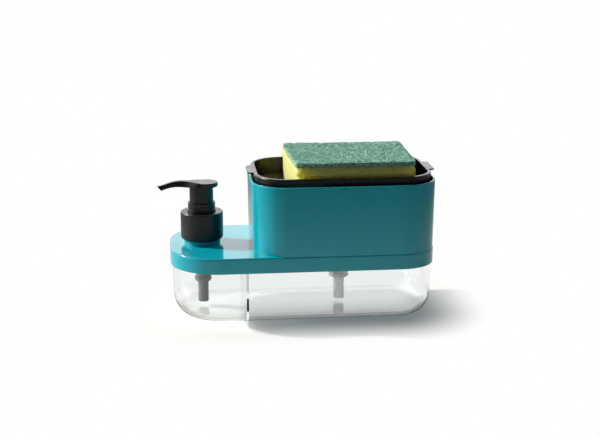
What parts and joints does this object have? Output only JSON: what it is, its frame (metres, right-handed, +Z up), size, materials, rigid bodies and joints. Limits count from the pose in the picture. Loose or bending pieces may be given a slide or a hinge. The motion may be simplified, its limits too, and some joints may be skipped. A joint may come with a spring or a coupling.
{
  "type": "soap pump caddy",
  "caption": "Long clear divided soap tank with a teal lid, a hand-soap pump at one end and an open tower whose sponge tray pumps soap when it is pressed.",
  "frame": {"origin": "the middle of the tank's flat base, on the surface that the caddy stands on", "axes": "+X along the length from the hand-soap pump to the tower, +Y from the front to the back, +Z up"},
  "size_m": [0.1896, 0.0904, 0.11],
  "materials": {
    "clear_plastic": "clear polished plastic",
    "teal_plastic": "glossy moulded plastic",
    "black_satin": "satin moulded plastic",
    "black_gloss": "glossy moulded plastic",
    "grey_plastic": "satin moulded plastic",
    "white_plastic": "cloudy white plastic",
    "spring_steel": "drawn wire",
    "valve_steel": "ground ball",
    "seal_rubber": "soft seal",
    "yellow_foam": "open-cell foam",
    "green_pad": "coarse non-woven fibre"
  },
  "bodies": {
    "tank": {"tank": "clear_plastic"},
    "cover": {"cover": "teal_plastic", "tray_pump_cylinder": "white_plastic", "tray_pump_gasket": "seal_rubber", "tray_pump_dip_tube": "white_plastic", "tray_pump_chaplet": "white_plastic", "tray_pump_collar": "white_plastic", "tray_pump_spring": "spring_steel"},
    "pump_unit": {"pump_cylinder": "grey_plastic", "pump_gasket": "seal_rubber", "pump_dip_tube": "grey_plastic", "pump_chaplet": "black_satin", "pump_spring": "spring_steel"},
    "pump_collar": {"pump_collar": "black_satin"},
    "pump_plunger": {"pump_piston": "white_plastic"},
    "pump_head": {"pump_head": "black_satin", "pump_stem": "black_satin"},
    "pump_ball": {"pump_inlet_ball": "valve_steel"},
    "tray_plunger": {"tray_pump_piston": "white_plastic", "tray_pump_stem": "white_plastic"},
    "tray_ball": {"tray_pump_inlet_ball": "valve_steel"},
    "tray": {"tray": "black_gloss"},
    "sponge": {"sponge_foam": "yellow_foam", "scouring_pad": "green_pad"}
  },
  "joints": [
    {"name": "lid_lift", "type": "slide", "parent": "tank", "child": "cover", "axis": [0, 0, 1], "range_m": [0, 0.06]},
    {"name": "pump_lift", "type": "slide", "parent": "cover", "child": "pump_unit", "axis": [0, 0, 1], "range_m": [0, 0.0106]},
    {"name": "collar_turn", "type": "hinge", "parent": "pump_unit", "child": "pump_collar", "pos_m": [-0.0677, 0, 0.062], "axis": [0, 0, 1], "range_deg": [0, 1260]},
    {"name": "pump_press", "type": "slide", "parent": "pump_unit", "child": "pump_plunger", "axis": [0, 0, -1], "range_m": [0, 0.009], "stiffness_N_per_m": 500, "springref_m": -0.004, "deforming": ["pump_spring"]},
    {"name": "head_swivel", "type": "hinge", "parent": "pump_plunger", "child": "pump_head", "pos_m": [-0.0677, 0, 0.088], "axis": [0, 0, 1], "continuous": true},
    {"name": "pump_ball_lift", "type": "slide", "parent": "pump_unit", "child": "pump_ball", "axis": [0, 0, 1], "range_m": [0, 0.0012]},
    {"name": "tray_press", "type": "slide", "parent": "cover", "child": "tray_plunger", "axis": [0, 0, -1], "range_m": [0, 0.0027], "stiffness_N_per_m": 1500, "springref_m": -0.003, "deforming": ["tray_pump_spring"]},
    {"name": "tray_ball_lift", "type": "slide", "parent": "cover", "child": "tray_ball", "axis": [0, 0, 1], "range_m": [0, 0.0012]},
    {"name": "tray_lift", "type": "slide", "parent": "tray_plunger", "child": "tray", "axis": [0, 0, 1], "range_m": [0, 0.04]},
    {"name": "sponge_lift", "type": "slide", "parent": "tray", "child": "sponge", "axis": [0, 0, 1], "range_m": [0, 0.04]}
  ],
  "couplings": [
    {"joint": "pump_lift", "follows": "collar_turn", "m_per_rad": 0.00047746}
  ]
}
